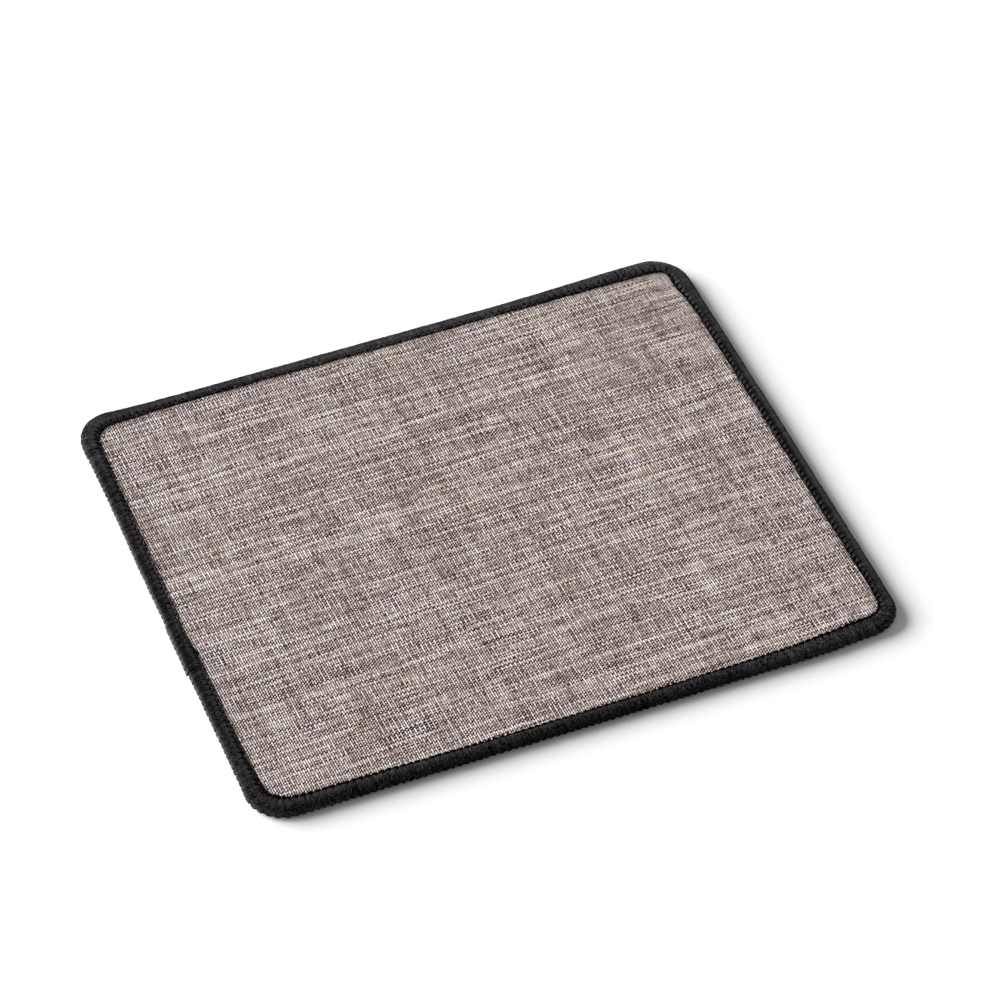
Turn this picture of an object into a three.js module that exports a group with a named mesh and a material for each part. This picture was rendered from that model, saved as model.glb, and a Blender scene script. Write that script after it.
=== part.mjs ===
// A stitched-edge mouse pad that lies flat: woven cloth bonded to a slab of foamed rubber,
// with its cut edge wrapped all round by an overlock stitch of three threads.
// Millimetres, +Z up, the origin under the middle of the pad on the table top.
import * as THREE from "three";

// Driving dimensions: the whole pad, across the stitched edge
const padLength = 250;
const padWidth = 212;
const cornerRadius = 14;

// Driving dimensions: the three bonded sheets
const rubberThickness = 3.4;
const filmThickness = 0.1;
const clothThickness = 0.5;

// Driving dimensions: the overlock stitch
const stitchPitch = 2.65;
const stitchBite = 6;
const topWrapThickness = 0.8;
const underWrapThickness = 0.5;
const lipRun = 0.8;
const ribDepth = 0.25;
const ribLean = 0.9;
const purlRise = 0.3;
const shoulderBulk = 0.4;
const edgeGap = 0.3;

// Driving dimensions: how the seam pinches the sheets, from the needle line outwards
const topSqueeze = 0.3;
const topSqueezeRun = 0.8;
const underSqueezeRun = 0.7;

// Driving dimensions: the needle thread on the cloth, just inside the wrap
const needleThickness = 0.45;
const needleWidth = 0.6;
const needleGap = 0.1;
const holeDipShare = 0.25;

// Driving dimensions: where the seam was closed, with its last stitches sewn over its first
const overlapStart = 10;
const overlapLength = 18;
const overlapRise = 0.45;
const overlapEase = 2.5;

// Driving dimensions: the trimmed tail of the thread chain, laid across the band
const tailThickness = 0.5;
const tailGap = 0.3;
const tailOverhang = 0.4;
const tailLean = 3.2;
const tailSteps = 8;
const tailSides = 8;

// How finely the round corners of the sheets are drawn
const cornerSteps = 7;

// Heights of the layers above the table
const filmBottom = rubberThickness;
const clothBottom = filmBottom + filmThickness;
const clothTop = clothBottom + clothThickness;
const rimTop = clothTop - topSqueeze;
const bandTop = rimTop + topWrapThickness;
const reliefHeight = underWrapThickness;
const purlHeight = reliefHeight + purlRise;
const noseRadius = bandTop / 2;

// A corner's centre; it serves every outline, because an outline set further in
// has a corner radius that is smaller by the same amount
const centreX = padLength / 2 - cornerRadius;
const centreY = padWidth / 2 - cornerRadius;

// The path round the pad, counter-clockwise from the lower end of the right side, measured
// where the stitches lie. Each leg is a straight side followed by a quarter turn.
const pathRadius = cornerRadius - stitchBite / 2;
const turnLength = (pathRadius * Math.PI) / 2;
const legs = [
  { from: [centreX, -centreY], run: [0, 1], length: 2 * centreY },
  { from: [centreX, centreY], run: [-1, 0], length: 2 * centreX },
  { from: [-centreX, centreY], run: [0, -1], length: 2 * centreY },
  { from: [-centreX, -centreY], run: [1, 0], length: 2 * centreX },
];
const pathLength = legs.reduce((sum, leg) => sum + leg.length + turnLength, 0);
const stitchCount = Math.round(pathLength / stitchPitch);
const pitch = pathLength / stitchCount;

// The place on the corner-centre rectangle, and the outward direction, at a distance
// along the path
function stationAt(distance) {
  let left = ((distance % pathLength) + pathLength) % pathLength;
  for (const { from, run, length } of legs) {
    const outward = [run[1], -run[0]];
    if (left <= length) {
      return { foot: [from[0] + run[0] * left, from[1] + run[1] * left], outward };
    }
    left -= length;
    if (left < turnLength) {
      const turn = left / pathRadius;
      const [c, s] = [Math.cos(turn), Math.sin(turn)];
      return {
        foot: [from[0] + run[0] * length, from[1] + run[1] * length],
        outward: [outward[0] * c + run[0] * s, outward[1] * c + run[1] * s],
      };
    }
    left -= turnLength;
  }
  return stationAt(0);
}

// A point of the pad at a distance along the path, an inset from the outermost line
// and a height
function pointAt(distance, inset, height) {
  const { foot, outward } = stationAt(distance);
  const reach = cornerRadius - inset;
  return {
    at: distance,
    xyz: [foot[0] + outward[0] * reach, foot[1] + outward[1] * reach, height],
  };
}

// Where the sheets' outline has its points: each corner's quarter turn in equal steps
const outlineStops = [];
let legStart = 0;
for (const leg of legs) {
  for (let step = 0; step <= cornerSteps; step += 1) {
    outlineStops.push(legStart + leg.length + (turnLength * step) / cornerSteps);
  }
  legStart += leg.length + turnLength;
}
outlineStops[outlineStops.length - 1] = 0;
outlineStops.sort((a, b) => a - b);

// A closed row of points at one inset and height: a sheet's outline
const outlineRow = (inset, height) =>
  outlineStops.map((stop) => pointAt(stop, inset, height));

// Triangles between two closed rows that run side by side, with any counts of points.
// With the second row above the first, they face away from the pad's middle.
function bridge(rowA, rowB, startA, startB, faces) {
  let a = 0;
  let b = 0;
  while (a < rowA.length || b < rowB.length) {
    const nextA = a < rowA.length ? rowA[(a + 1) % rowA.length].at : Infinity;
    const nextB = b < rowB.length ? rowB[(b + 1) % rowB.length].at : Infinity;
    const endA = a + 1 === rowA.length ? nextA + pathLength : nextA;
    const endB = b + 1 === rowB.length ? nextB + pathLength : nextB;
    const atA = startA + (a % rowA.length);
    const atB = startB + (b % rowB.length);
    if (endA <= endB) {
      faces.push(atA, startA + ((a + 1) % rowA.length), atB);
      a += 1;
    } else {
      faces.push(atA, startB + ((b + 1) % rowB.length), atB);
      b += 1;
    }
  }
}

// Puts rows of points and faces into a geometry
function geometryOf(rows, faces) {
  const positions = rows.flatMap((row) => row.flatMap((point) => point.xyz));
  const geometry = new THREE.BufferGeometry();
  geometry.setAttribute("position", new THREE.Float32BufferAttribute(positions, 3));
  geometry.setIndex(faces);
  geometry.computeVertexNormals();
  return geometry;
}

// The number of the first point of each row, when the rows follow one another
function rowStarts(rows) {
  const starts = [];
  let start = 0;
  for (const row of rows) {
    starts.push(start);
    start += row.length;
  }
  return starts;
}

// A solid that runs round the pad: its rows go once round its section
function ringGeometry(rows) {
  const starts = rowStarts(rows);
  const faces = [];
  rows.forEach((row, i) => {
    const next = (i + 1) % rows.length;
    bridge(row, rows[next], starts[i], starts[next], faces);
  });
  return geometryOf(rows, faces);
}

// A solid slab: its rows go from the outline of its underside to that of its top
function slabGeometry(rows) {
  const starts = rowStarts(rows);
  const faces = [];
  for (let i = 0; i + 1 < rows.length; i += 1) {
    bridge(rows[i], rows[i + 1], starts[i], starts[i + 1], faces);
  }
  const last = starts[rows.length - 1];
  for (let k = 1; k + 1 < rows[0].length; k += 1) {
    faces.push(starts[0], starts[0] + k + 1, starts[0] + k);
    faces.push(last, last + k, last + k + 1);
  }
  return geometryOf(rows, faces);
}

// From 0 to 1 and back along the path where the seam's last stitches lie over its first
const seamMiddle = 1.5 * legs[0].length + legs[1].length + 2 * turnLength;
function overlapAt(distance) {
  const along = distance - (seamMiddle + overlapStart);
  const rise = Math.min(along / overlapEase, (overlapLength - along) / overlapEase);
  return THREE.MathUtils.smoothstep(rise, 0, 1);
}

// The band's rounded nose: a half circle as high as the band. The turn is 0 at the top,
// a right angle at the outermost line and grows on towards the table.
function nosePoint(turn) {
  return {
    inset: noseRadius * (1 - Math.sin(turn)),
    height: noseRadius * (1 + Math.cos(turn)),
    facing: [-Math.sin(turn), Math.cos(turn)],
  };
}
const shoulderTurn = THREE.MathUtils.degToRad(18);
const sideTurn = THREE.MathUtils.degToRad(76);
const purlTurn = Math.acos(purlHeight / noseRadius - 1);
const shoulder = nosePoint(shoulderTurn);
const side = nosePoint(sideTurn);
const purl = { ...nosePoint(purlTurn), facing: [-1, 0] };
const underTurn = Math.PI - shoulderTurn;
const under = { ...nosePoint(underTurn), height: 0, facing: [0, -1] };

// The sheets' cut edge stands back from the band's shoulder, so that the threads cover it
const shoulderSlope = (shoulder.inset - side.inset) / (shoulder.height - side.height);
const shoulderInset = shoulder.inset - (shoulder.height - rimTop) * shoulderSlope;
const cutInset = shoulderInset + ribDepth + shoulderBulk;
const wallInset = cutInset - edgeGap;

// The inner side of the needle thread, where the seam starts to pinch the sheets
const pinchInset = stitchBite + needleGap + needleWidth;

// One row of the wrap, two points to a stitch: the crown of the thread, then the dip
// between it and the next. Along its way over the edge a thread leans by a share of its lean.
function wrapRow({ inset, height, facing }, leanShare, riseShare) {
  const row = [];
  for (let k = 0; k < 2 * stitchCount; k += 1) {
    const distance = (k / 2) * pitch + ribLean * leanShare;
    const dip = k % 2 === 0 ? 0 : ribDepth;
    const out = overlapRise * riseShare * overlapAt(distance) - dip;
    const point = pointAt(distance, inset + facing[0] * out, height + facing[1] * out);
    row.push(point);
  }
  return row;
}

// Upper looper thread: from the needle line over the top and round the nose to the purl
function upperLooperGeometry() {
  const foot = { inset: stitchBite, height: rimTop, facing: [1, 0] };
  const lip = { inset: stitchBite - lipRun, height: bandTop, facing: [0, 1] };
  return ringGeometry([
    wrapRow(purl, 1, 1),
    wrapRow(side, 0.75, 1),
    wrapRow(shoulder, 0.5, 1),
    wrapRow(lip, 0.25, 1),
    wrapRow(foot, 0, 0),
    outlineRow(wallInset, rimTop),
    outlineRow(wallInset, purlHeight),
  ]);
}

// Lower looper thread: from the purl round under the edge and back in to the needle line,
// in the step that it presses into the rubber
function lowerLooperGeometry() {
  const foot = { inset: stitchBite, height: reliefHeight, facing: [1, 0] };
  return ringGeometry([
    wrapRow(foot, 0, 0),
    wrapRow(under, 0.5, 0),
    wrapRow(purl, 1, 1),
    outlineRow(wallInset, purlHeight),
    outlineRow(wallInset, reliefHeight),
  ]);
}

// Needle thread: a low ridge along the lip of the wrap, which dips to each needle hole.
// Its two sides have a point at each hole, its back one at each hole and one between.
function needleGeometry() {
  const outerInset = stitchBite + needleGap;
  const backInset = outerInset + needleWidth / 2;
  const outer = [];
  const inner = [];
  const back = [];
  for (let n = 0; n < stitchCount; n += 1) {
    const hole = (n + 0.5) * pitch;
    outer.push(pointAt(hole, outerInset, rimTop));
    inner.push(pointAt(hole, pinchInset, rimTop));
    back.push(pointAt(hole, backInset, rimTop + needleThickness * holeDipShare));
    back.push(pointAt(hole + pitch / 2, backInset, rimTop + needleThickness));
  }
  return ringGeometry([outer, back, inner]);
}

// The face between two sheets: flat in the field and pinched down by the seam from the
// needle line out to the cut edge
function faceRows(height) {
  return [
    outlineRow(pinchInset + topSqueezeRun, height),
    outlineRow(pinchInset, height - topSqueeze),
    outlineRow(cutInset, height - topSqueeze),
  ];
}

// Rubber base: its underside is squeezed up, under the threads, by their thickness
function rubberGeometry() {
  return slabGeometry([
    outlineRow(stitchBite + underSqueezeRun, 0),
    outlineRow(stitchBite, reliefHeight),
    outlineRow(cutInset, reliefHeight),
    ...faceRows(filmBottom).reverse(),
  ]);
}

// A sheet of one thickness out to the cut edge
function sheetGeometry(bottom, top) {
  return slabGeometry([...faceRows(bottom), ...faceRows(top).reverse()]);
}

// Tail of the thread chain: one strand that crosses the band beside the overlap, from just
// inside the needle line, short of the flat cloth, over the crown and down the nose
function tailGeometry() {
  const clear = tailGap + tailThickness / 2;
  const overNose = (turn) => {
    const { inset, height, facing } = nosePoint(turn);
    return [inset + facing[0] * clear, height + facing[1] * clear];
  };
  const needleTop = rimTop + needleThickness;
  const profile = [
    [pinchInset + tailOverhang, clothTop + clear],
    [pinchInset - needleWidth / 2, Math.max(needleTop, clothTop) + clear],
    [stitchBite - lipRun, bandTop + clear],
    overNose(0),
    overNose(shoulderTurn),
    overNose(Math.PI / 4),
  ];
  const middle = seamMiddle + overlapStart - tailLean / 2;
  const points = profile.map(([inset, height], i) => {
    const distance = middle + tailLean * (i / (profile.length - 1) - 0.5);
    return new THREE.Vector3(...pointAt(distance, inset, height).xyz);
  });
  const section = new THREE.Shape();
  section.absarc(0, 0, tailThickness / 2, 0, 2 * Math.PI);
  return new THREE.ExtrudeGeometry(section, {
    extrudePath: new THREE.CatmullRomCurve3(points),
    curveSegments: tailSides / 2,
    steps: tailSteps,
  });
}

// Colours and finishes
const clothFinish = new THREE.MeshStandardMaterial({
  color: 0x9c928b,
  roughness: 0.95,
  metalness: 0,
});
const filmFinish = new THREE.MeshStandardMaterial({
  color: 0xd9d4c6,
  roughness: 0.5,
  metalness: 0,
});
const rubberFinish = new THREE.MeshStandardMaterial({
  color: 0x1c1c1d,
  roughness: 0.9,
  metalness: 0,
});
const threadFinish = new THREE.MeshStandardMaterial({
  color: 0x252526,
  roughness: 0.8,
  metalness: 0,
});

// The pad
const mousePad = new THREE.Group();
function addPiece(name, geometry, material) {
  const piece = new THREE.Mesh(geometry, material);
  piece.name = name;
  mousePad.add(piece);
}
addPiece("rubber_base", rubberGeometry(), rubberFinish);
addPiece("bond_film", sheetGeometry(filmBottom, clothBottom), filmFinish);
addPiece("cloth_face", sheetGeometry(clothBottom, clothTop), clothFinish);
addPiece("needle_thread", needleGeometry(), threadFinish);
addPiece("upper_looper_thread", upperLooperGeometry(), threadFinish);
addPiece("lower_looper_thread", lowerLooperGeometry(), threadFinish);
addPiece("thread_tail", tailGeometry(), threadFinish);

export default mousePad;
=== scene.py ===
"""A mouse pad that lies on a white table: woven cloth on a foamed rubber base, its edge
wrapped all round by an overlock stitch. Shapes are worked out in millimetres and become
metres where a mesh is made."""
import math

import bpy
import numpy as np
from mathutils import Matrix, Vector


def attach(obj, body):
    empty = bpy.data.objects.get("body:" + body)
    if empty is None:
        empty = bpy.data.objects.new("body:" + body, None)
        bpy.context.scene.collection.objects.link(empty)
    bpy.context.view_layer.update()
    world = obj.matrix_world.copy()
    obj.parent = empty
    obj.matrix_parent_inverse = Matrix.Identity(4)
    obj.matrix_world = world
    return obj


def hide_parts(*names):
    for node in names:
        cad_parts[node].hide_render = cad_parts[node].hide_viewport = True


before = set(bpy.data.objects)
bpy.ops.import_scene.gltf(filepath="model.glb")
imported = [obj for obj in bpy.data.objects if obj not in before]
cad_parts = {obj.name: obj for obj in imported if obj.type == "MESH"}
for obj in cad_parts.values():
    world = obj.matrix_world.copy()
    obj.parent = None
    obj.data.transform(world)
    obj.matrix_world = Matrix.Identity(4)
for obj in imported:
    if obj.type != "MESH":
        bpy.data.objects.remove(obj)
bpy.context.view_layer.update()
MM = 0.001

# The pad and its layers
LENGTH, WIDTH, CORNER = 250.0, 212.0, 14.0
RUBBER_TOP, FILM_TOP, CLOTH_TOP = 3.4, 3.5, 4.0
# How far in from the stitched edge the sheets are cut
CUT_INSET = 2.2

# The stitch: how far in it bites, its wanted pitch, the radius of the thread nose at the
# edge and how many stitches are sewn over the first ones
BITE, PITCH_WANTED = 6.0, 2.65
NOSE = 2.25
OVERLAP = 9
# How far it presses the top down, where that slope starts past the bite and how wide it is
SQUEEZE, SQUEEZE_GAP, SQUEEZE_RUN = 0.16, 0.6, 0.9
# How high the underside is pressed up below the stitch
RELIEF = 0.5

# The path under the middle of the band, with quarter turns at the corners
PATH_RADIUS = CORNER - BITE / 2
CX, CY = LENGTH / 2 - CORNER, WIDTH / 2 - CORNER
TURN = PATH_RADIUS * math.pi / 2
AROUND = 4 * (CX + CY + TURN)
STITCHES = round(AROUND / PITCH_WANTED)
PITCH = AROUND / STITCHES
# The seam starts a little past the middle of the left side
PAST_MIDDLE = 7.0
SEAM_START = 3 * CY + 2 * CX + 2 * TURN + PAST_MIDDLE
FIRST = round(SEAM_START / PITCH)

# The camera, with the angles of its view in degrees and its place in metres
CAMERA_AZIMUTH, CAMERA_ELEVATION = -21.86, 46.02
CAMERA_DISTANCE, LENS, SENSOR = 1.551, 149.4, 36
LOOKED_AT = Vector((11.76 * MM, 10.54 * MM, 0))


# Camera at the photograph's viewing angle
def back_of(azimuth, elevation):
    """The unit vector from the object towards a camera at these angles in degrees."""
    a, e = math.radians(azimuth), math.radians(elevation)
    return Vector((math.sin(a) * math.cos(e), -math.cos(a) * math.cos(e), math.sin(e)))


def add_camera():
    """The scene's camera."""
    camera = bpy.data.objects.new("Camera", bpy.data.cameras.new("Camera"))
    bpy.context.collection.objects.link(camera)
    camera.data.sensor_width = SENSOR
    camera.data.lens = LENS
    camera.data.clip_start, camera.data.clip_end = 0.05, 20
    view = back_of(CAMERA_AZIMUTH, CAMERA_ELEVATION)
    camera.location = LOOKED_AT + view * CAMERA_DISTANCE
    camera.rotation_mode = "QUATERNION"
    camera.rotation_quaternion = (-view).to_track_quat("-Z", "Y")
    bpy.context.scene.camera = camera


add_camera()


# The path round the pad
def station(distance):
    """The place on the corner-centre rectangle and the outward direction, at distances
    counter-clockwise from the lower end of the right side."""
    d = np.mod(np.asarray(distance, float), AROUND)
    foot, outward = np.zeros(d.shape + (2,)), np.zeros(d.shape + (2,))
    begin = 0.0
    corners = [(CX, -CY), (CX, CY), (-CX, CY), (-CX, -CY)]
    runs = [(0, 1), (-1, 0), (0, -1), (1, 0)]
    for corner, run, side in zip(corners, runs, (2 * CY, 2 * CX, 2 * CY, 2 * CX)):
        corner, run = np.array(corner, float), np.array(run, float)
        out = np.array([run[1], -run[0]])
        on = (d >= begin) & (d <= begin + side)
        foot[on] = corner + run * (d[on] - begin)[:, None]
        outward[on] = out
        turning = (d > begin + side) & (d < begin + side + TURN)
        t = ((d[turning] - begin - side) / PATH_RADIUS)[:, None]
        foot[turning] = corner + run * side
        outward[turning] = out * np.cos(t) + run * np.sin(t)
        begin += side + TURN
    return foot, outward


def bump(distance, middle, before, after, height):
    """A smooth hump along the path: a bell of one width before its middle and another
    after it."""
    off = np.mod(distance - middle + AROUND / 2, AROUND) - AROUND / 2
    width = np.where(off < 0, before, after)
    return height * np.exp(-((off / width) ** 2))


def humps(distance, table):
    """The sum of a table's humps along the path."""
    return sum(bump(distance, *hump) for hump in table)


def smooth_step(share):
    """0 before 0, 1 after 1 and a smooth slope between."""
    t = np.clip(share, 0, 1)
    return t * t * (3 - 2 * t)


WAVES_ROUND = (7, 13, 19, 31, 43, 59, 83)
WAVES_SUM = 2.4


def wander(distance, amount, seed):
    """A slow irregular wave along the closed path: a sum of sines with a whole number of
    periods round the pad."""
    g = np.random.default_rng(seed)
    total = 0.0
    for turns in WAVES_ROUND:
        wave = np.sin(2 * math.pi * (turns * distance / AROUND + g.random()))
        total = total + wave * g.uniform(0.5, 1)
    return amount * total / WAVES_SUM


# Humps of the fed edge and of the cloth's lip: the middle along the path, the widths before
# and after it, and the height, which is outwards for the edge and inwards for the lip
FEED_HUMPS = (
    (203, 9, 38, 2.0),
    (430, 8, 7, 0.8),
    (385, 25, 20, -0.35),
    (470, 25, 25, -0.3),
    (866, 16, 9, -1.5),
    (96, 60, 60, 0.35),
)
LIP_HUMPS = (
    (183, 9, 6, 1.9),
    (426, 20, 16, 1.35),
    (634, 14, 11, 1.7),
    (670, 30, 26, 0.5),
    (866, 24, 13, 2.8),
    (SEAM_START + 2, 5, 9, -0.9),
    (750, 100, 100, -1.08),
    (533, 70, 70, -0.78),
    (312, 100, 100, -0.3),
    (92, 80, 80, -0.3),
)
PLAIN_LIP = 5.85


def feed(distance):
    """How far the hand-fed edge lies outside the ideal outline."""
    return humps(distance, FEED_HUMPS) + wander(distance, 0.1, 3)


def lip(distance):
    """The inset at which the cloth comes out from under the stitches."""
    return PLAIN_LIP + humps(distance, LIP_HUMPS) + wander(distance, 0.12, 5)


# How far in from the bite the field still follows the lip
FOLLOW = 20


def place(distance, inset, height):
    """Points at a distance along the path, an ideal inset and a height. The nose keeps its
    shape and moves with the fed edge; between the nose and the lip the inset is stretched
    so that the stitch's bite ends on the lip; further in, the stretch fades away."""
    distance, inset, height = np.broadcast_arrays(
        *(np.asarray(v, float) for v in (distance, inset, height))
    )
    foot, outward = station(distance)
    out, edge = feed(distance), lip(distance)
    share = (inset - NOSE) / (BITE - NOSE)
    band = -out + NOSE + share * (edge + out - NOSE)
    fade = np.clip((inset - BITE) / FOLLOW, 0, 1)
    field = inset + (edge - BITE) * (1 - fade) ** 2
    real = np.where(inset < NOSE, inset - out, np.where(inset < BITE, band, field))
    xy = foot + outward * (CORNER - real)[..., None]
    return np.concatenate([xy, height[..., None]], -1)


# Mesh makers
def make(name, points, faces, material, uv=None, tone=None):
    """A smooth mesh object from points in millimetres and faces, with an optional map of two
    numbers a point and an optional grey tone a point."""
    mesh = bpy.data.meshes.new(name)
    mesh.from_pydata((np.asarray(points) * MM).tolist(), [], faces)
    mesh.shade_smooth()
    corners = np.zeros(len(mesh.loops), np.int32)
    mesh.loops.foreach_get("vertex_index", corners)
    if uv is not None:
        layer = mesh.uv_layers.new(name="strand")
        layer.data.foreach_set("uv", np.asarray(uv, np.float32)[corners].ravel())
    if tone is not None:
        layer = mesh.attributes.new("tone", "FLOAT", "POINT")
        layer.data.foreach_set("value", np.asarray(tone, np.float32))
    mesh.materials.append(material)
    thing = bpy.data.objects.new(name, mesh)
    bpy.context.collection.objects.link(thing)
    return thing


def grid_faces(rows, columns):
    """Quads between rows of points whose columns close round."""
    r, c = np.arange(rows - 1)[:, None], np.arange(columns)[None, :]
    right = (c + 1) % columns
    below, above = r * columns, (r + 1) * columns
    quads = [below + c, below + right, above + right, above + c]
    return np.stack([np.broadcast_to(q, (rows - 1, columns)) for q in quads], -1).reshape(-1, 4)


def slab(name, rows, low, high, material, tones=None):
    """A closed sheet: rows of points that run from the middle of its underside out to the
    edge, up and in to the middle of its top, with a point at each middle. Each row may have
    a tone."""
    rows = np.asarray(rows)
    count, columns = rows.shape[:2]
    points = np.concatenate([rows.reshape(-1, 3), [[0, 0, low], [0, 0, high]]])
    k = np.arange(columns)
    after = (k + 1) % columns
    first, last = count * columns, count * columns + 1
    top = (count - 1) * columns
    faces = grid_faces(count, columns).tolist()
    faces += np.stack([np.full(columns, first), after, k], -1).tolist()
    faces += np.stack([top + k, top + after, np.full(columns, last)], -1).tolist()
    if tones is not None:
        tones = np.concatenate([np.repeat(tones, columns), [tones[0], tones[-1]]])
    return make(name, points, faces, material, tone=tones)


def unit(v):
    """Vectors at length one."""
    return v / np.maximum(np.linalg.norm(v, axis=-1, keepdims=True), 1e-9)


# Sections of a strand: shares of its half width and of its half thickness
ROUND = [(math.cos(a), math.sin(a)) for a in np.arange(6) * math.pi / 3]
TWO_PLY = [
    (1.0, 0.0), (0.85, 0.72), (0.5, 1.0), (0.0, 0.5), (-0.5, 1.0), (-0.85, 0.72), (-1.0, 0.0),
    (-0.5, -0.8), (0.5, -0.8),
]


def tube(path, normal, width, thick, section, closed, tone):
    """A strand along a path: each ring is the path's point plus the section's first numbers
    times the half width sideways plus its second numbers times the half thickness along the
    normal. Gives its points, faces, map (length along, share across) and tones."""
    if closed:
        tangent = np.roll(path, -1, 0) - np.roll(path, 1, 0)
    else:
        tangent = np.gradient(path, axis=0)
    tangent = unit(tangent)
    normal = unit(normal - tangent * (normal * tangent).sum(-1, keepdims=True))
    sideways = np.cross(normal, tangent)
    across, up = np.array(section).T
    sides, count = len(section), len(path)
    ring = (
        path[:, None]
        + sideways[:, None] * (across[None, :] * np.asarray(width)[:, None])[..., None]
        + normal[:, None] * (up[None, :] * np.asarray(thick)[:, None])[..., None]
    )
    steps = np.linalg.norm(np.diff(path, axis=0), axis=-1)
    along = np.concatenate([[0], np.cumsum(steps)])
    uv = np.stack(np.broadcast_arrays(along[:, None], across[None, :]), -1).reshape(-1, 2)
    faces = grid_faces(count, sides).tolist()
    end = (count - 1) * sides
    k = np.arange(sides)
    if closed:
        after = (k + 1) % sides
        faces += np.stack([end + k, end + after, after, k], -1).tolist()
    else:
        faces += [k[::-1].tolist(), (end + k).tolist()]
    return ring.reshape(-1, 3), faces, uv, np.repeat(tone, sides)


def join(parts):
    """Several strands' points, faces, maps and tones as one."""
    points, faces, maps, tones = zip(*parts)
    starts = np.cumsum([0] + [len(p) for p in points])
    moved = [[i + start for i in face] for start, some in zip(starts.tolist(), faces) for face in some]
    return np.concatenate(points), moved, np.concatenate(maps), np.concatenate(tones)


def profile(controls, count=200):
    """A smooth line through (inset, height) controls: a cubic blend of each four neighbours,
    as points evenly spaced by length."""
    c = np.asarray(controls, float)
    c = np.concatenate([[2 * c[0] - c[1]], c, [2 * c[-1] - c[-2]]])
    t = np.linspace(0, len(c) - 3, 1200)[:-1]
    i, f = t.astype(int), (t % 1)[:, None]
    p0, p1, p2, p3 = c[i], c[i + 1], c[i + 2], c[i + 3]
    line = 0.5 * (
        2 * p1
        + (p2 - p0) * f
        + (2 * p0 - 5 * p1 + 4 * p2 - p3) * f**2
        + (3 * p1 - p0 - 3 * p2 + p3) * f**3
    )
    length = np.concatenate([[0], np.cumsum(np.linalg.norm(np.diff(line, axis=0), axis=1))])
    even = np.linspace(0, length[-1], count)
    return np.stack([np.interp(even, length, line[:, k]) for k in (0, 1)], -1)


# Materials
class Web:
    """The node tree of a material or the world, with short ways to add nodes and links."""

    def __init__(self, owner):
        owner.use_nodes = True
        self.owner = owner
        self.tree = owner.node_tree

    def node(self, kind, inputs=None, **settings):
        made = self.tree.nodes.new(kind)
        for key, value in settings.items():
            setattr(made, key, value)
        for key, value in (inputs or {}).items():
            self.feed(made.inputs[key], value)
        return made

    def feed(self, socket, value):
        if isinstance(value, bpy.types.NodeSocket):
            self.tree.links.new(value, socket)
        else:
            socket.default_value = value

    def math(self, operation, a, b=0.0, c=0.0, clamp=False):
        made = self.node("ShaderNodeMath", {0: a, 1: b, 2: c}, operation=operation)
        made.use_clamp = clamp
        return made.outputs[0]

    def add(self, a, b):
        return self.math("ADD", a, b)

    def less(self, a, b):
        return self.math("SUBTRACT", a, b)

    def times(self, a, b):
        return self.math("MULTIPLY", a, b)

    def line(self, a, factor, plus, clamp=False):
        """The first times a factor, plus the third."""
        return self.math("MULTIPLY_ADD", a, factor, plus, clamp)

    def point(self, x, y=0.0, z=0.0):
        return self.node("ShaderNodeCombineXYZ", {0: x, 1: y, 2: z}).outputs[0]

    def parts(self, vector):
        return self.node("ShaderNodeSeparateXYZ", {0: vector}).outputs

    def in_mm(self):
        """The place on the piece in millimetres."""
        spot = self.node("ShaderNodeTexCoord").outputs["Object"]
        inputs = {0: spot, "Scale": 1 / MM}
        return self.node("ShaderNodeVectorMath", inputs, operation="SCALE").outputs[0]

    def tone(self):
        """The tone kept on the piece's points: painted shade under the stitches on the cloth, and each
        pass's own tone with painted light and shade added on the threads.
        """
        return self.node("ShaderNodeAttribute", attribute_name="tone").outputs["Fac"]

    def noise(self, vector, scale=1.0, detail=2.0, rough=0.5, output=0):
        inputs = {"Vector": vector, "Scale": scale, "Detail": detail, "Roughness": rough}
        return self.node("ShaderNodeTexNoise", inputs).outputs[output]

    def centred(self, noise, amount):
        """A noise about zero, times an amount."""
        return self.times(self.less(noise, 0.5), amount)

    def blend(self, share, a, b):
        made = self.node("ShaderNodeMix", data_type="RGBA", clamp_factor=False)
        for key, value in zip((0, 6, 7), (share, a, b)):
            self.feed(made.inputs[key], value)
        return made.outputs[2]

    def dyed(self, colour, recolour):
        """A colour multiplied by a second one."""
        made = self.node("ShaderNodeMix", data_type="RGBA", blend_type="MULTIPLY")
        for key, value in zip((0, 6, 7), (1.0, colour, recolour)):
            self.feed(made.inputs[key], value)
        return made.outputs[2]

    def ramp(self, value, stops):
        made = self.node("ShaderNodeValToRGB", {0: value})
        elements = made.color_ramp.elements
        while len(elements) < len(stops):
            elements.new(0.5)
        for element, (position, colour) in zip(elements, stops):
            element.position = position
            element.color = colour
        return made.outputs[0]

    def bumped(self, height, distance, strength):
        inputs = {"Height": height, "Distance": distance, "Strength": strength}
        return self.node("ShaderNodeBump", inputs).outputs[0]

    def seen(self):
        """1 where a camera, glossy or transmission ray looks, otherwise 0."""
        rays = self.node("ShaderNodeLightPath").outputs
        mirrored = self.math("MAXIMUM", rays["Is Camera Ray"], rays["Is Glossy Ray"])
        return self.math("MAXIMUM", mirrored, rays["Is Transmission Ray"])

    def finish(self, **sockets):
        """Feeds the surface shader's sockets and gives the material."""
        shader = self.tree.nodes["Principled BSDF"]
        for key, value in sockets.items():
            self.feed(shader.inputs[key.replace("_", " ")], value)
        return self.owner


def new_look(name):
    """The web of a new material."""
    return Web(bpy.data.materials.new(name))


def shade(r, g, b):
    """A colour written as 0 to 255 display values, as the linear one a shader takes."""
    v = np.array([r, g, b]) / 255
    linear = np.where(v <= 0.04045, v / 12.92, ((v + 0.055) / 1.055) ** 2.4)
    return (*linear.tolist(), 1.0)


# The cloth's yarn pitches along and across the pad, and how far the yarns are turned
WARP_PITCH, WEFT_PITCH = 0.885, 0.616
YARN_TURN = math.radians(2)


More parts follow.
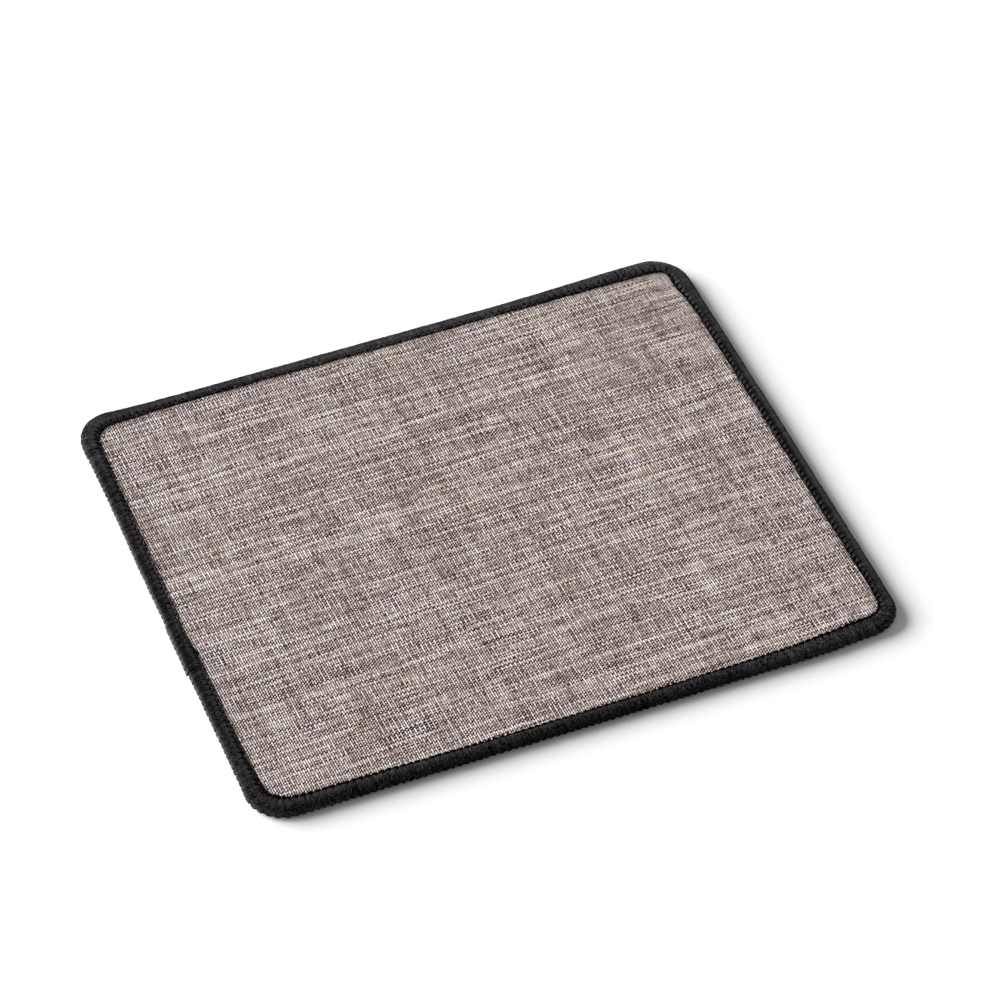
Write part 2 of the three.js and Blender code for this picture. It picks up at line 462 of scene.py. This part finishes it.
def yarn_places(w, mm):
    """The place across the upright yarns and across the cross yarns: the pad's own axes
    turned a little, plus three noises that make the yarns drift, sway and jolt."""
    x, y, _ = w.parts(mm)
    c, s = math.cos(YARN_TURN), math.sin(YARN_TURN)
    u = w.add(w.times(x, c), w.times(y, s))
    v = w.less(w.times(y, c), w.times(x, s))
    drift = w.parts(w.noise(mm, 0.012, 0.0, output=1))
    sway = w.parts(w.noise(mm, 0.05, 1.0, output=1))
    jolt = w.parts(w.noise(mm, 0.25, 1.0, output=1))
    u = w.add(u, w.line(sway[0], 0.5, w.times(drift[0], 1.2)))
    v = w.add(v, w.line(sway[1], 0.5, w.times(drift[1], 1.2)))
    return w.line(jolt[0], 0.35, u), w.line(jolt[1], 0.2, v)


def yarn_tone(w, index, along, seed, own, spans, swaps):
    """The tone of a yarn: a fixed one of its own plus noises of several lengths along it,
    each with its amount. The swaps are noises that change sign from yarn to yarn."""
    fixed = w.node("ShaderNodeTexWhiteNoise", {"W": w.add(index, seed)}, noise_dimensions="1D")
    total = w.centred(fixed.outputs[0], own)
    for k, (span, amount) in enumerate(spans):
        row = w.point(w.math("DIVIDE", along, span), w.times(index, 7.31), seed + 19.7 * k)
        total = w.add(total, w.centred(w.noise(row, 1.0, 0.0), amount))
    sign = w.line(w.math("FRACT", w.times(index, 0.5)), -4.0, 1.0)
    for k, (span, amount) in enumerate(swaps):
        row = w.point(w.math("DIVIDE", along, span), w.times(index, 0.55), seed + 31.3 * k + 7)
        total = w.line(w.centred(w.noise(row, 1.0, 0.0), amount), sign, total)
    return total


def yarn_crown(w, f):
    """1 in the middle of a yarn and 0 at its sides."""
    off = w.math("ABSOLUTE", w.less(f, 0.5))
    return w.less(1.0, w.times(w.times(off, off), 4.0))


def woven_cloth():
    """Plain weave: upright yarns and cross yarns change places cell by cell, and each yarn
    has its own tone that drifts along it."""
    w = new_look("woven_cloth")
    mm = w.in_mm()
    u, v = yarn_places(w, mm)
    cu, cv = w.math("DIVIDE", u, WARP_PITCH), w.math("DIVIDE", v, WEFT_PITCH)
    iu, iv = w.math("FLOOR", cu), w.math("FLOOR", cv)
    au, av = yarn_crown(w, w.math("FRACT", cu)), yarn_crown(w, w.math("FRACT", cv))
    over = w.math("GREATER_THAN", w.math("FRACT", w.times(w.add(iu, iv), 0.5)), 0.25)
    warp = yarn_tone(w, iu, v, 3.0, 0.35, [(26.0, 0.3), (6.0, 0.45), (1.3, 0.6)], [(4.0, 0.5)])
    weft_spans = [(40.0, 1.12), (11.0, 1.08), (2.0, 0.84)]
    weft = yarn_tone(w, iv, u, 57.0, 0.65, weft_spans, [(24.0, 1.4), (7.0, 1.6)])
    warp_top = w.times(w.math("POWER", au, 0.7), w.line(av, 0.5, 0.5))
    weft_top = w.times(w.math("POWER", av, 0.7), w.line(au, 0.5, 0.5))

    def pick(a, b):
        """The first where the upright yarn is on top, otherwise the second."""
        made = w.node("ShaderNodeMix", data_type="FLOAT")
        for key, value in zip((0, 2, 3), (over, b, a)):
            w.feed(made.inputs[key], value)
        return made.outputs[0]

    # The tone: the upper yarn's, soft clouds, a speck a cell, fibres along the yarns, a painted
    # highlight on the crowns, painted shade in the gaps beside the upright yarns and the slanting
    # rib of the weave
    crown = pick(warp_top, weft_top)
    cloud = w.centred(w.noise(mm, 0.05, 1.0), 0.12)
    speck = w.centred(w.noise(w.point(iu, iv, 5.0), 1.7, 0.0), 0.5)
    fibre = w.centred(w.noise(w.point(u, v), 9.0, 1.0), 0.1)
    value = w.add(w.add(pick(warp, weft), cloud), w.add(speck, fibre))
    # Painted highlight: paler colour on the yarns' crowns
    value = w.line(w.less(crown, 0.55), 0.35, value)
    # Painted shade: darker colour in the gaps beside the upright yarns, paler in their middle
    painted_gap_shade = w.times(w.less(au, 0.67), w.line(warp, 1.2, 1.05))
    rib = w.line(w.math("COSINE", w.times(w.less(cu, cv), math.pi)), -0.24, 0.41)
    value = w.line(w.add(w.add(value, painted_gap_shade), rib), 0.64, 0.209)
    greys = w.ramp(
        value,
        [
            (0.0, shade(16, 1, 0)),
            (0.22, shade(76, 54, 51)),
            (0.40, shade(125, 106, 103)),
            (0.55, shade(166, 150, 147)),
            (0.72, shade(212, 199, 197)),
            (1.0, shade(255, 251, 250)),
        ],
    )
    # Ochre patches, and painted shade on the strip that lies under the stitches
    ochre = w.line(w.noise(mm, 0.13, 2.0), 4.5, -2.35, clamp=True)
    tinted = w.blend(w.times(ochre, 0.55), greys, w.dyed(greys, shade(238, 229, 204)))
    tinted = w.blend(w.tone(), tinted, shade(13, 11, 11))
    height = w.line(crown, 0.11, w.times(w.noise(mm, 6.0, 2.0), 0.03))
    return w.finish(
        Base_Color=tinted,
        Roughness=w.line(w.noise(mm, 2.0, 1.0), 0.2, 0.78),
        Normal=w.bumped(height, 1.0 * MM, 0.8),
        Specular_IOR_Level=0.02,
    )


def edge_thread():
    """Textured multi-filament thread: two plies and fine filaments along the strand, a tone
    of its own for each pass with painted light and shade added, a hue that drifts and paler
    fuzz here and there."""
    cool, warm, dark, pale = shade(66, 65, 68), shade(71, 67, 66), shade(6, 6, 7), shade(120, 118, 118)
    w = new_look("edge_thread")
    along, across, _ = w.parts(w.node("ShaderNodeUVMap", uv_map="strand").outputs[0])
    tone = w.tone()
    mm = w.in_mm()
    broad = w.point(w.times(along, 0.3), w.times(across, 1.1), w.times(tone, 9.0))
    twist = w.line(across, 1.7, w.times(along, 0.3))
    plies = w.noise(broad, 1.0, 1.0)
    filaments = w.noise(w.point(w.times(along, 0.4), twist, w.times(tone, 7.0)), 1.6, 2.0, 0.6)
    share = w.line(plies, 1.2, w.line(filaments, 6.5, w.line(tone, 0.8, -3.75)))
    hue = w.line(w.noise(mm, 0.25, 1.0), 3.0, -1.0, clamp=True)
    colour = w.blend(w.math("MAXIMUM", share, 0.0), dark, w.blend(hue, warm, cool))
    lint = w.line(w.noise(mm, 2.3, 2.0), 9.0, -6.1, clamp=True)
    height = w.line(w.noise(mm, 7.0, 2.0), 0.04, w.times(filaments, 0.14))
    return w.finish(
        Base_Color=w.blend(w.times(lint, 0.35), colour, pale),
        Roughness=w.line(filaments, 0.2, 0.7),
        Normal=w.bumped(height, 1.0 * MM, 0.9),
        Specular_IOR_Level=0.02,
    )


# The size of a lozenge in the rubber's grip pattern, from corner to corner
LOZENGE = 1.5


def foamed_rubber():
    """Black sponge rubber: a moulded lattice of small lozenges underneath, fine cells
    everywhere and paler dust in the hollows."""
    w = new_look("foamed_rubber")
    mm = w.in_mm()
    x, y, _ = w.parts(mm)
    a = w.math("SINE", w.times(w.add(x, y), math.pi / LOZENGE))
    b = w.math("SINE", w.times(w.less(x, y), math.pi / LOZENGE))
    lattice = w.math("MAXIMUM", w.math("ABSOLUTE", a), w.math("ABSOLUTE", b))
    ridge = w.math("POWER", lattice, 3.0)
    cells = w.node("ShaderNodeTexVoronoi", {"Vector": mm, "Scale": 4.0}).outputs[0]
    cloud = w.noise(mm, 0.05, 4.0)
    dust = w.line(cloud, 0.8, w.times(w.noise(mm, 3.0, 2.0), 0.4))
    dust = w.line(ridge, -0.3, w.add(dust, 0.15), clamp=True)
    height = w.line(ridge, 0.16, w.times(cells, 0.05))
    return w.finish(
        Base_Color=w.ramp(dust, [(0.3, shade(20, 20, 21)), (0.8, shade(42, 41, 41))]),
        Roughness=w.line(cloud, 0.25, 0.68),
        Normal=w.bumped(height, 1.0 * MM, 0.8),
        Specular_IOR_Level=0.3,
    )


def adhesive_film():
    """Milky hot-melt film with a faint flow grain."""
    w = new_look("adhesive_film")
    grain = w.noise(w.in_mm(), 0.8, 4.0, 0.6)
    return w.finish(
        Base_Color=w.ramp(grain, [(0.3, shade(206, 200, 186)), (0.75, shade(226, 222, 210))]),
        Roughness=w.line(grain, 0.3, 0.35),
        Normal=w.bumped(grain, 0.03 * MM, 0.8),
    )


cloth_look = woven_cloth()
thread_look = edge_thread()
rubber_look = foamed_rubber()
film_look = adhesive_film()


# The bonded sheets
def pinch(inset):
    """How far the seam presses the sheets down: nothing in the field, all of it from the
    lip outwards, with a smooth slope between."""
    return SQUEEZE * smooth_step((BITE + SQUEEZE_GAP + SQUEEZE_RUN - inset) / SQUEEZE_RUN)


def swell(points):
    """The cloth's soft unevenness: three crossing waves 18 to 60 mm long."""
    x, y = points[..., 0], points[..., 1]
    return 0.035 * (
        np.sin(x / 9.1 + 0.6 * np.sin(y / 17)) * np.sin(y / 6.3 + 1)
        + np.sin(x / 3.9 + y / 7.7 + 2)
        + 0.8 * np.sin(y / 2.9 - x / 11.3)
    )


# Places along the path for the cloth's columns, four a stitch with a needle hole at each
# fourth, and for the hidden sheets' columns, one a stitch
fine = np.arange(4 * STITCHES) * PITCH / 4 + PITCH / 2
at_hole = (np.arange(4 * STITCHES) % 4) == 0
coarse = np.arange(STITCHES) * PITCH

# The inset inside which rows only shrink towards the middle, and the insets of the pinched
# rows from the field out to the cut edge
FIELD_INSET = 12.3
RIM_INSETS = (9.0, 7.4, 6.9, 6.4, CUT_INSET)


def inner_rows(distance, shares):
    """Rows at height nothing that shrink from the field's outer row towards the middle."""
    outer = place(distance, FIELD_INSET, 0.0)
    return [outer * np.array([share, share, 1.0]) for share in shares]


def pinched_rows(distance, insets, level):
    """Rows at these insets and one level, pressed down by the seam."""
    return [place(distance, inset, level - pinch(inset)) for inset in insets]


# The cloth's top rows from the cut edge in, the dents at the needle holes by inset, and
# the insets up to which painted shade darkens the cloth under the stitches, wholly and by half
TOP_INSETS = (CUT_INSET, 4.0, 5.4, 5.75, 5.9, 6.1, 6.4, 6.7, 7.2, 7.6, 8.2, 9.2, 10.6, FIELD_INSET)
DENTS = {5.9: 0.45, 6.1: 0.32, 6.4: 0.14, 6.7: 0.04}
PAINTED_SHADE_INSET, HALF_SHADE_INSET = 5.8, 6.0
# The pucker beside each needle hole: its depth, the inset of its middle and its spread
PUCKER, PUCKER_INSET, PUCKER_SPREAD = 0.04, 6.6, 1.6
# The inset where the swell starts and how much further in it is whole
SWELL_FROM, SWELL_RUN = 7, 4
# The shares to which the field's rows shrink, and the height of its middle point
FIELD_SHARES = np.linspace(0.97, 0.05, 20)
MIDDLE_RISE = 0.02


def cloth_piece():
    """The cloth: bottom rows from the middle out, the cut edge, then the top with a dent at
    each needle hole, the slope of the pinch and the soft field."""
    level = np.array([0, 0, FILM_TOP])
    rows = [row + level for row in inner_rows(fine, (0.3, 0.7))]
    rows += pinched_rows(fine, RIM_INSETS, FILM_TOP)
    tones = [0.0] * len(rows)
    for inset, row in zip(TOP_INSETS, pinched_rows(fine, TOP_INSETS, CLOTH_TOP)):
        # Painted shade: the cloth under the stitches is darkened where it shows between them
        tones.append(1.0 if inset < PAINTED_SHADE_INSET else 0.3 if inset < HALF_SHADE_INSET else 0.0)
        pucker = PUCKER * np.exp(-((inset - PUCKER_INSET) / PUCKER_SPREAD) ** 2)
        row[..., 2] -= np.where(at_hole, DENTS.get(inset, 0) + pucker, 0)
        row[..., 2] += swell(row) * np.clip((inset - SWELL_FROM) / SWELL_RUN, 0, 1)
        rows.append(row)
    for row in inner_rows(fine, FIELD_SHARES):
        row[..., 2] = CLOTH_TOP + swell(row)
        rows.append(row)
        tones.append(0.0)
    return slab("cloth_face_woven", rows, FILM_TOP, CLOTH_TOP + MIDDLE_RISE, cloth_look, tones)


def film_piece():
    """The film between cloth and rubber: pinched rows out to the cut edge and back."""
    rows = pinched_rows(coarse, RIM_INSETS, RUBBER_TOP)
    rows += pinched_rows(coarse, RIM_INSETS[::-1], FILM_TOP)
    return slab("bond_film_sheet", rows, RUBBER_TOP, FILM_TOP, film_look)


# The rubber's underside from the field out: flat, then a rounded step up to the relief
STEP_ROWS = (
    (FIELD_INSET, 0), (9.0, 0), (7.2, 0), (6.8, 0.06), (6.5, 0.22), (6.3, 0.4), (BITE, RELIEF),
    (CUT_INSET, RELIEF),
)


def rubber_piece():
    """The rubber: a flat underside with a rounded step where the threads press it up, the
    cut edge and the pinched top."""
    rows = inner_rows(coarse, (0.25, 0.5, 0.75))
    rows += [place(coarse, inset, height) for inset, height in STEP_ROWS]
    rows += pinched_rows(coarse, RIM_INSETS[::-1], RUBBER_TOP)
    return slab("rubber_base_foam", rows, 0.0, RUBBER_TOP, rubber_look)


# The overlock stitch
def nose_line(turns, radius):
    """Points of the rounded nose at angles in degrees from the top, at a radius."""
    t = np.radians(turns)
    return np.stack([NOSE - radius * np.sin(t), NOSE + radius * np.cos(t)], -1).tolist()


# The two looper threads' middle lines across the band, as insets and heights
upper_line = profile(
    [(5.6, 2.9), (5.55, 3.5), (5.35, 3.92), (4.95, 4.24), (4.3, 4.43), (3.5, 4.44)]
    + nose_line((10, 35, 60, 82), 2.05)
    + nose_line((102, 116), NOSE)
)
lower_line = profile(
    [(6.5, 0.75), (6.1, 0.42), (5.2, 0.27), (3.8, 0.27)]
    + nose_line((178, 160, 142, 124, 112, 104), 2.0)
)

# A looper stitch in steps: the share of the pitch and the share of the way over the edge,
# out and back
STEPS_OUT = [
    (0.0, 0.0), (0.05, 0.03), (0.08, 0.08), (0.115, 0.14), (0.16, 0.22), (0.205, 0.31), (0.235, 0.41),
    (0.25, 0.52), (0.25, 0.64), (0.265, 0.75), (0.305, 0.85), (0.37, 0.93), (0.44, 0.985),
]
STEPS = STEPS_OUT + [(0.5, 1.0)] + [(1 - p, w) for p, w in STEPS_OUT[:0:-1]]

# A looper thread's half width and half thickness at shares of the way over the edge
UPPER_WIDTH = ((0, 0.1, 0.3, 0.45, 0.8, 1), (0.34, 0.42, 0.7, 0.82, 0.7, 0.42))
UPPER_THICK = ((0, 0.2, 0.5, 0.85, 1), (0.26, 0.34, 0.24, 0.24, 0.32))
LOWER_WIDTH = ((0, 0.4, 0.85, 1), (0.4, 0.62, 0.5, 0.34))
LOWER_THICK = ((0, 1), (0.2, 0.2))

# The spread of the small shifts of the passes: along the path as a share of the pitch, off
# the surface, in width as a share, and in tone about the middle one
SHIFT, SLACK, BREADTH, TONE_SPREAD = 0.035, 0.04, 0.06, 0.16
SLACK_RANGE = (-0.1, 0.05)
# How far a pass leans along the path by the rim, and how much that wanders
LEAN, LEAN_WANDER = 0.9, 0.25


def across_band(line, way):
    """The inset, the height and the unit normal away from the sheets, at shares of the way
    along a line across the band."""
    index, stops = way * (len(line) - 1), np.arange(len(line))
    inset, height = (np.interp(index, stops, line[:, k]) for k in (0, 1))
    slope = np.gradient(line, axis=0)
    run, rise = (np.interp(index, stops, slope[:, k]) for k in (0, 1))
    side = 1 if line[len(line) // 2, 1] > NOSE else -1
    size = side * np.hypot(run, rise)
    return inset, height, rise / size, -run / size


def strands(start, line, width, thick, end_shade, seed, lift=None, recolour=None, slim=None):
    """One looper thread as a single strand, sewn once round and over its start: for each
    stitch it follows the steps along a line across the band. Every pass has its own small
    shifts; the end shade is painted shade that darkens it by the share of the way over the
    edge. The lift, the recolour and the slim are functions that raise it, add painted light
    and shade to its tone, and change its width."""
    g = np.random.default_rng(seed)
    count = STITCHES + OVERLAP
    phase, way = np.array(STEPS).T
    passes = np.where(phase < 0.5, 0, 1)
    free = np.sin(math.pi * np.clip(way, 0, 1))
    shift = g.normal(0, SHIFT, (count, 2))[:, passes] * free**0.5
    slack = np.clip(g.normal(0, SLACK, (count, 2)), *SLACK_RANGE)[:, passes] * free
    broad = 1 + g.normal(0, BREADTH, (count, 2))[:, passes]
    tone = np.clip(g.normal(0.5, TONE_SPREAD, (count, 2)), 0, 1)[:, passes] - end_shade(way)
    distance = (start + np.arange(count)[:, None] + phase + shift) * PITCH
    distance = distance + (LEAN + wander(distance, LEAN_WANDER, seed + 1)) * way
    inset, height, n_in, n_up = across_band(line, way)
    raised = slack + (lift(distance) if lift else 0)
    spot = place(distance, inset + n_in * raised, height + n_up * raised)
    _, outward = station(distance)
    upward = np.broadcast_to(n_up[None, :, None], outward.shape[:2] + (1,))
    normal = np.concatenate([-n_in[None, :, None] * outward, upward], -1)
    turning = np.linalg.norm(station(distance + 0.05)[1] - outward, axis=-1) > 1e-6
    fan = np.where(turning, (CORNER - inset) / PATH_RADIUS, 1.0)
    half = np.interp(way, *width) * broad * fan
    # Painted light and shade by side, added to the tone
    if recolour:
        tone = tone + recolour(distance, way)
    if slim:
        half = half * slim(distance, way)
    deep = np.interp(way, *thick) * np.ones_like(half)
    return tube(
        spot.reshape(-1, 3), normal.reshape(-1, 3), half.ravel(), deep.ravel(), TWO_PLY, False, tone.ravel()
    )


# How high the seam's last stitches lie over its first, and in how many stitches they rise
OVERLAP_LIFT, LIFT_RUN = 0.5, 1.5


def overlap_lift(distance):
    """How much higher the thread lies where the seam's last stitches cover its first."""
    past = distance / PITCH - FIRST - STITCHES
    return OVERLAP_LIFT * smooth_step(past / LIFT_RUN + 0.5)


# Each side's and corner's middle and spreads along the path, the painted light and shade on
# the thread where it leaves the needle line, at the feet, over the nose and at the rim, and how
# much wider it lies at the feet and over the nose
SIDES = (
    ((92, 100, 90), (1.2, -0.8, 1.3, 1.2), (-0.22, 0.0)),
    ((312, 110, 110), (1.6, 0.7, -0.1, -0.5), (0.25, 0.0)),
    ((533, 95, 95), (1.9, 0.3, -1.25, 1.3), (-0.2, 0.0)),
    ((753, 110, 105), (-1.4, 0.05, -0.3, -0.95), (0.12, 0.3)),
    ((192, 14, 14), (0.3, 0.2, 0.4, 0.3), (0.1, 0.0)),
    ((633, 18, 16), (-0.3, -0.2, -0.15, -0.2), (0.1, 0.1)),
    ((873, 16, 16), (-0.2, -0.2, -0.3, -0.2), (0.1, 0.1)),
)
# The shares of the way over the edge between which each tone and each width holds
TONE_SHARES = (0, 0.17, 0.24, 0.32, 0.5, 0.7, 0.8, 1)
WIDTH_SHARES = (0, 0.25, 0.5, 1)


def side_painted_light(distance, way):
    """Painted light and shade on the thread round the pad: each side's tones, blended between
    their shares of the way, faded out at its corners and added up."""
    return sum(
        bump(distance, *spread, 1.0) * np.interp(way, TONE_SHARES, np.repeat(tones, 2))
        for spread, tones, _ in SIDES
    )


def side_width(distance, way):
    """The share of a pass's plain width round the pad, made from the sides' widths in the
    same way."""
    return 1 + sum(
        bump(distance, *spread, 1.0) * np.interp(way, WIDTH_SHARES, np.repeat(widths, 2))
        for spread, _, widths in SIDES
    )


def upper_looper():
    """The thread over the top and the nose, with painted shade where it dives to the needle
    line and painted light and shade side by side.
    """

    # Painted shade where the thread dives to the needle line
    def root_shade(way):
        return 0.9 * np.exp(-((way / 0.12) ** 2))

    points, faces, uv, tones = strands(
        FIRST, upper_line, UPPER_WIDTH, UPPER_THICK, root_shade, 11, overlap_lift, side_painted_light, side_width
    )
    return make("upper_looper_strand", points, faces, thread_look, uv, tones)


def lower_looper():
    """The thread that covers the underside and comes up to the purl, half a stitch on; painted
    shade darkens it at the purl."""

    # Painted shade at the purl, where the thread turns in a recess
    def loops(way):
        return 1.2 * (way > 0.8)

    points, faces, uv, tones = strands(FIRST + 0.5, lower_line, LOWER_WIDTH, LOWER_THICK, loops, 23)
    return make("lower_looper_strand", points, faces, thread_look, uv, tones)


# The needle thread's rows, on top and underneath: inset, bow inwards, heights of the arch
# and of the holes, half thickness and which way is up
NEEDLE_ROWS = (
    (5.68, 0.22, 4.28, 3.1, 0.5, 1.0),
    (6.35, 0, 0.22, 0.6, 0.2, -1.0),
)
# The places of a stitch's points from hole to hole, as shares of the pitch
ARCH_SHARES = (0.0, 0.14, 0.32, 0.5, 0.68, 0.86)
# The thread's tone, dark partly for the tight black thread and partly as painted shade in the
# groove at the lip, and its spread, its stretches of painted light round the pad on the sides
# whose lip lies in shade, and how far the middle of a stitch strays
NEEDLE_TONE, NEEDLE_TONE_SPREAD, STRAY = -1.3, 0.2, 0.06
PAINTED_LIGHT_HUMPS = ((312, 110, 110, 2.0), (533, 80, 80, 2.4), (92, 90, 80, 1.2))
# The knotted stitches after the seam's start: their hump, and how far in, how much thicker
# and how much darker they are
KNOTS = (SEAM_START + 16, 2.5, 2.5, 1.0)
KNOT_JOG, KNOT_GROWTH, KNOT_DARK = 0.35, 0.5, 2.4


def needle_stitches():
    """The needle thread: on top a short stitch from hole to hole that arches over the feet of
    the wrap, and underneath a small loop at every hole. Each arch is the root of a half
    sine in height."""
    g = np.random.default_rng(31)
    points_each = len(ARCH_SHARES)
    phase = np.tile(ARCH_SHARES, STITCHES)
    distance = (np.repeat(np.arange(STITCHES), points_each) + phase) * PITCH
    rise = np.sin(math.pi * phase) ** 0.5
    knots = bump(distance, *KNOTS)
    parts = []
    for inset, bow, arch, hole, thick, up in NEEDLE_ROWS:
        jog = np.repeat(g.normal(0, STRAY, STITCHES), points_each) * rise + KNOT_JOG * knots * up
        path = place(distance, inset + bow * rise + jog, hole + (arch - hole) * rise)
        normal = np.tile([0.0, 0.0, up], (len(path), 1))
        tone = np.repeat(g.normal(NEEDLE_TONE, NEEDLE_TONE_SPREAD, STITCHES), points_each)
        # Painted light along stretches of the pad; the knots are darker
        tone = tone + humps(distance, PAINTED_LIGHT_HUMPS) - KNOT_DARK * knots
        width = thick * (1 + KNOT_GROWTH * knots)
        parts.append(tube(path, normal, width, width, ROUND, True, tone))
    points, faces, uv, tones = join(parts)
    return make("needle_thread_stitches", points, faces, thread_look, uv, tones)


# The loose end: its line across the band, its count of rings, where it starts in stitches
# past the seam's first, how far it slants along the path and how much it waves
TAIL_LINE = [(6.5, 4.25), (5.6, 4.75), (4.6, 5.0), (3.4, 5.06), (2.2, 4.95), (1.3, 4.6), (0.6, 3.9)]
TAIL_RINGS, TAIL_START, TAIL_SLANT, TAIL_WAVE = 28, 0.4, 3.4, 0.5
# Its half width, how much of it the tip loses, its flatness and its tone
TAIL_WIDTH, TAIL_TAPER, TAIL_FLATNESS, TAIL_TONE = 0.26, 0.08, 0.9, 0.9


def tail():
    """The trimmed end of the thread chain, one limp strand that crosses the band beside the
    overlap: the line across the band, slanted and waved along the path."""
    t = np.linspace(0, 1, TAIL_RINGS)
    inset, height = profile(TAIL_LINE, TAIL_RINGS).T
    distance = (FIRST + TAIL_START) * PITCH + TAIL_SLANT * t + TAIL_WAVE * np.sin(5 * t)
    path = place(distance, inset, height)
    _, outward = station(distance)
    normal = np.concatenate([outward * 0.4, np.ones((TAIL_RINGS, 1))], -1)
    width = TAIL_WIDTH - TAIL_TAPER * t**3
    tone = np.full(TAIL_RINGS, TAIL_TONE)
    points, faces, uv, tones = tube(path, normal, width, width * TAIL_FLATNESS, ROUND, False, tone)
    return make("thread_tail_strand", points, faces, thread_look, uv, tones)


cloth = cloth_piece()
film = film_piece()
rubber = rubber_piece()
upper = upper_looper()
lower = lower_looper()
needle = needle_stitches()
end = tail()
for piece, node, look in (
    (cloth, "cloth_face", "woven_cloth"),
    (film, "bond_film", "adhesive_film"),
    (rubber, "rubber_base", "foamed_rubber"),
    (upper, "upper_looper_thread", "edge_thread"),
    (lower, "lower_looper_thread", "edge_thread"),
    (needle, "needle_thread", "edge_thread"),
    (end, "thread_tail", "edge_thread"),
):
    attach(piece, "root")
    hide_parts(node)

# The floor's half size in metres, the grey that it lends to the light it throws on the pad,
# the white that a camera or a mirror sees, and a faint glow that keeps the shadow open
FLOOR_HALF, FLOOR_GREY, FLOOR_WHITE, FLOOR_GLOW = 6, 0.8, 1.15, 0.02
# The sun behind on the left: its angles and the width of its disc in degrees, its strength
SUN_AZIMUTH, SUN_ELEVATION, SUN_DISC, SUN_STRENGTH = 180 + 51, 3, 74, 14.0
# The sky: its strength where it is looked at, and as light
SKY_SEEN, SKY_LIGHT = 1.0, 0.2


def add_floor():
    """A flat pale floor, white where it is looked at, with the pad's shadow."""
    h = FLOOR_HALF
    mesh = bpy.data.meshes.new("floor")
    mesh.from_pydata([(-h, -h, 0), (h, -h, 0), (h, h, 0), (-h, h, 0)], [], [(0, 1, 2, 3)])
    thing = bpy.data.objects.new("floor", mesh)
    bpy.context.collection.objects.link(thing)
    w = new_look("floor")
    seen = w.seen()
    dull = w.node("ShaderNodeBsdfDiffuse", {"Color": (*[FLOOR_GREY] * 3, 1)}).outputs[0]
    white = w.node("ShaderNodeBsdfDiffuse", {"Color": (*[FLOOR_WHITE] * 3, 1)}).outputs[0]
    glow = w.node("ShaderNodeEmission", {"Color": (1, 1, 1, 1), "Strength": FLOOR_GLOW}).outputs[0]
    both = w.node("ShaderNodeAddShader", {0: white, 1: glow}).outputs[0]
    mixed = w.node("ShaderNodeMixShader", {0: seen, 1: dull, 2: both}).outputs[0]
    w.feed(w.tree.nodes["Material Output"].inputs["Surface"], mixed)
    mesh.materials.append(w.owner)
    return thing


def add_light():
    """One soft sun from behind on the left, and an even dim sky."""
    sun = bpy.data.objects.new("Key", bpy.data.lights.new("Key", "SUN"))
    bpy.context.collection.objects.link(sun)
    sun.data.energy = SUN_STRENGTH
    sun.data.angle = math.radians(SUN_DISC)
    sun.rotation_mode = "QUATERNION"
    sun.rotation_quaternion = back_of(SUN_AZIMUTH, SUN_ELEVATION).to_track_quat("Z", "Y")
    sky = Web(bpy.data.worlds.new("World"))
    bpy.context.scene.world = sky.owner
    background = sky.tree.nodes["Background"]
    sky.feed(background.inputs["Color"], (1, 1, 1, 1))
    sky.feed(background.inputs["Strength"], sky.line(sky.seen(), SKY_SEEN - SKY_LIGHT, SKY_LIGHT))


floor = add_floor()
add_light()
bpy.context.scene.view_settings.view_transform = "Standard"
